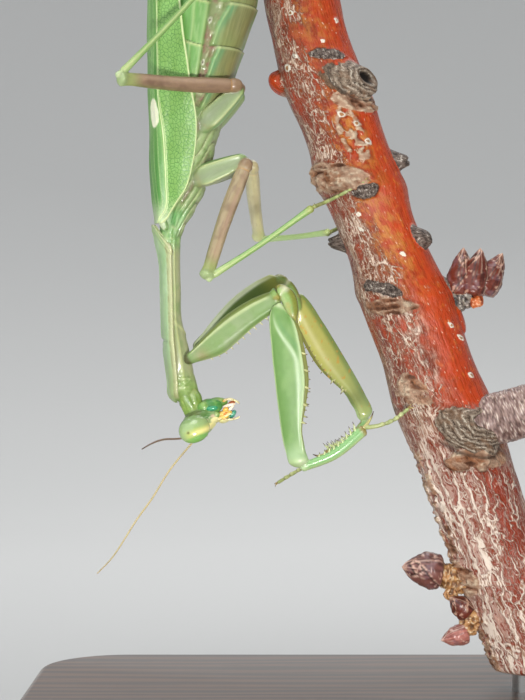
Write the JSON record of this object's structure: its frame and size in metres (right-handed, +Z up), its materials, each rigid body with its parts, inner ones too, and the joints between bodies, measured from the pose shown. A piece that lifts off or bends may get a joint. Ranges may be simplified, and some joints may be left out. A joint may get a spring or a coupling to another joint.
{
  "type": "praying mantis",
  "caption": "Life-size still model of a green praying mantis, head down on a cut length of red-brown branch, held by a flat base and a short rod.",
  "frame": {"origin": "middle of the underside of the stand's base", "axes": "+Z up. The mantis hangs head down: its head is towards -Z, its back towards -X, its belly and the branch towards +X, its left side towards -Y."},
  "size_m": [0.076, 0.06, 0.1136],
  "materials": {
    "wing": "satin, finely veined, green with cream veins",
    "pronotum": "satin grey-green with a yellowish margin",
    "body": "satin green, olive below, pale lines at the seams",
    "head": "satin light green",
    "eye": "glossy pale green, very finely faceted",
    "mouth": "satin yellow and orange",
    "labrum": "glossy turquoise",
    "foreleg": "satin green with pale ridges",
    "thigh": "satin mauve-brown, greener at the knee",
    "shank": "satin light green",
    "antenna": "satin cream",
    "bark": "glossy red-brown bark with grey-white flaking streaks",
    "stand_wood": "dark satin-varnished wood",
    "stand_metal": "brushed"
  },
  "bodies": {
    "root": {"tegmen_left": "wing", "tegmen_right": "wing", "pronotum": "pronotum", "prothorax": "body", "thorax": "body", "abdomen": "body", "neck": "body", "cercus_left": "body", "cercus_right": "body", "head": "head", "eye_left": "eye", "eye_right": "eye", "labium": "mouth", "mandible_left": "mouth", "mandible_right": "mouth", "labrum": "labrum", "palp_maxillary_left": "antenna", "palp_maxillary_right": "antenna", "palp_labial_left": "antenna", "palp_labial_right": "antenna", "antenna_left": "antenna", "antenna_right": "antenna", "coxa_fore_left": "foreleg", "femur_fore_left": "foreleg", "tibia_fore_left": "foreleg", "tarsus_fore_left": "shank", "coxa_fore_right": "foreleg", "femur_fore_right": "foreleg", "tibia_fore_right": "foreleg", "tarsus_fore_right": "shank", "coxa_mid_left": "foreleg", "femur_mid_left": "thigh", "tibia_mid_left": "shank", "tarsus_mid_left": "shank", "coxa_mid_right": "foreleg", "femur_mid_right": "thigh", "tibia_mid_right": "shank", "tarsus_mid_right": "shank", "coxa_hind_left": "foreleg", "femur_hind_left": "thigh", "tibia_hind_left": "shank", "tarsus_hind_left": "shank", "coxa_hind_right": "foreleg", "femur_hind_right": "thigh", "tibia_hind_right": "shank", "tarsus_hind_right": "shank", "branch": "bark", "stand_base": "stand_wood", "stand_rod": "stand_metal"}
  },
  "joints": []
}
